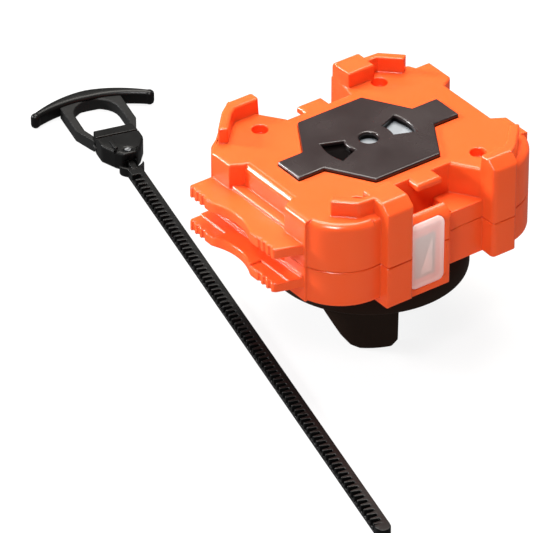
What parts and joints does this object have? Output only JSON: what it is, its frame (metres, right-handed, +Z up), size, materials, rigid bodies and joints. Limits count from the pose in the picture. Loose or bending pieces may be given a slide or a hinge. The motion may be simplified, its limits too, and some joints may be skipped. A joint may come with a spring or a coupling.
{
  "type": "spinning top launcher",
  "caption": "Hand-held spinning top launcher: boxy two-part housing with grip flanges, spinning head with two hooks below, and a separate toothed pull strip with a finger-ring handle.",
  "frame": {"origin": "On the spin axis, in the flat underside of the head's centre cap, where a top is seated", "axes": "+Z is up along the spin axis, from the hooks to the deck; X runs along the winder slot with the grip flanges at -X; the side with the window faces -Y"},
  "size_m": [0.0922, 0.2053, 0.0547],
  "materials": {
    "housing": "orange moulded plastic, semi-gloss",
    "plate": "dark warm grey moulded plastic, satin top and glossy bevels",
    "insert": "light grey moulded plastic",
    "window": "frosted translucent plastic with a pink cast",
    "black_plastic": "near-black moulded plastic",
    "winder": "black flexible moulded plastic",
    "steel": "plain steel",
    "brass": "plain brass"
  },
  "bodies": {
    "housing": {"top_cover": "housing", "bottom_cover": "housing", "top_plate": "plate", "plate_insert": "insert", "window": "window", "window_arrow": "insert", "winder_guide": "black_plastic", "upper_bush": "brass", "lower_bush": "brass", "housing_screws": "steel"},
    "head": {"spindle": "steel", "clutch_collar": "steel", "clutch_spring": "steel", "thrust_washer": "brass", "head_dish": "black_plastic", "hook_carrier": "black_plastic", "head_screw": "steel", "hub_cap": "black_plastic"},
    "gear": {"drive_gear": "insert"},
    "winder": {"winder_strip": "winder"},
    "handle": {"swivel_pin": "steel", "handle_block": "winder", "ring_frame": "winder", "pull_bar": "winder"}
  },
  "joints": [
    {"name": "head_spin", "type": "hinge", "parent": "housing", "child": "head", "pos_m": [0, 0, 0.0217], "axis": [0, 0, 1], "continuous": true},
    {"name": "gear_spin", "type": "hinge", "parent": "housing", "child": "gear", "pos_m": [0, 0, 0.0217], "axis": [0, 0, 1], "continuous": true},
    {"name": "winder_pull", "type": "slide", "parent": "housing", "child": "winder", "axis": [0.2538, 0.9673, 0], "range_m": [0, 0.17]},
    {"name": "handle_swivel", "type": "hinge", "parent": "winder", "child": "handle", "pos_m": [-0.01093, 0.08999, -0.0124], "axis": [0, 0, 1], "range_deg": [-15, 15]}
  ],
  "couplings": [
    {"joint": "gear_spin", "follows": "head_spin", "ratio": 1}
  ]
}
